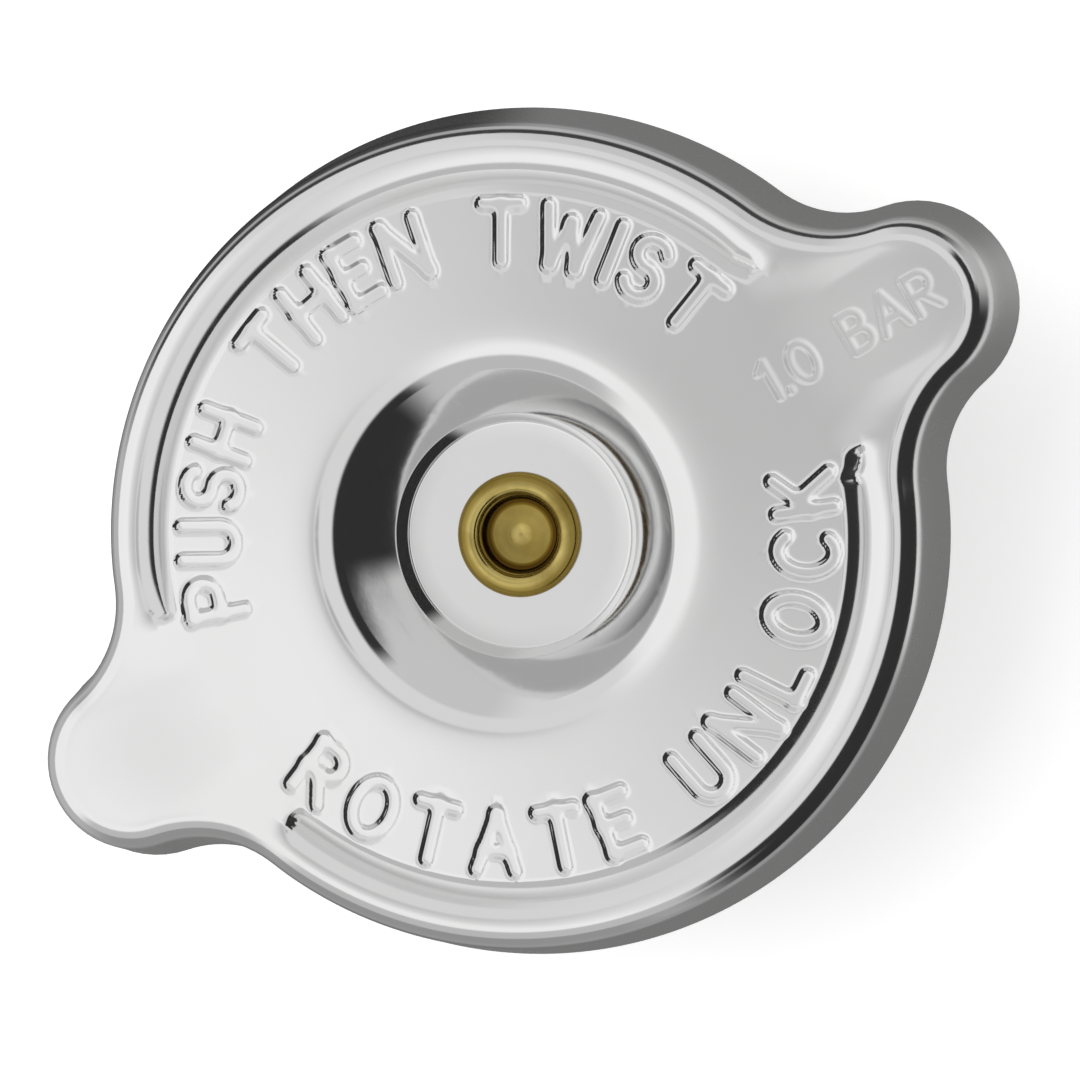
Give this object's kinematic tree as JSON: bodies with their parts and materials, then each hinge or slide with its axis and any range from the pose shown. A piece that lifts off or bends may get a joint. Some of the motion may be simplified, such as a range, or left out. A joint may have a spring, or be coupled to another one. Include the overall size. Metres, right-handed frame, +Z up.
{
  "type": "radiator cap",
  "caption": "Eared radiator pressure cap: a pressed shell with cam fingers swivels over a sprung pressure valve, which carries a small vacuum valve at its centre.",
  "frame": {"origin": "on the cap's axis, in the plane of the main gasket's sealing face", "axes": "+X along the ears, +Z up the axis from the valve to the shell"},
  "size_m": [0.0824, 0.063, 0.035],
  "materials": {
    "shell_plating": "bright plating on pressed steel",
    "rivet_brass": "turned brass",
    "diaphragm_steel": "rolled spring steel",
    "rim_rubber": "moulded rubber",
    "seat_steel": "pressed, tinned steel",
    "guide_steel": "drawn steel",
    "spring_steel": "drawn spring wire",
    "plate_brass": "pressed brass",
    "main_rubber": "moulded rubber",
    "hub_brass": "turned brass",
    "vacuum_brass": "turned brass",
    "seal_rubber": "cut rubber sheet",
    "vacuum_wire": "drawn wire",
    "keeper_brass": "stamped brass"
  },
  "bodies": {
    "shell": {"cap_shell": "shell_plating"},
    "carrier": {"rivet": "rivet_brass", "diaphragm": "diaphragm_steel", "rim_gasket": "rim_rubber", "spring_seat": "seat_steel", "spring_guide": "guide_steel", "pressure_spring": "spring_steel"},
    "pressure_valve": {"valve_plate": "plate_brass", "main_gasket": "main_rubber", "valve_hub": "hub_brass", "vacuum_spring": "vacuum_wire"},
    "vacuum_valve": {"vacuum_valve": "vacuum_brass", "vacuum_seal": "seal_rubber", "vacuum_keeper": "keeper_brass"}
  },
  "joints": [
    {"name": "cap_swivel", "type": "hinge", "parent": "shell", "child": "carrier", "pos_m": [0, 0, 0.0284], "axis": [0, 0, 1], "continuous": true},
    {"name": "pressure_lift", "type": "slide", "parent": "carrier", "child": "pressure_valve", "axis": [0, 0, 1], "range_m": [0, 0.005], "stiffness_N_per_m": 8000, "springref_m": -0.0004, "deforming": ["pressure_spring"]},
    {"name": "vacuum_drop", "type": "slide", "parent": "pressure_valve", "child": "vacuum_valve", "axis": [0, 0, -1], "range_m": [0, 0.002], "stiffness_N_per_m": 100, "springref_m": -0.001, "deforming": ["vacuum_spring"]}
  ]
}
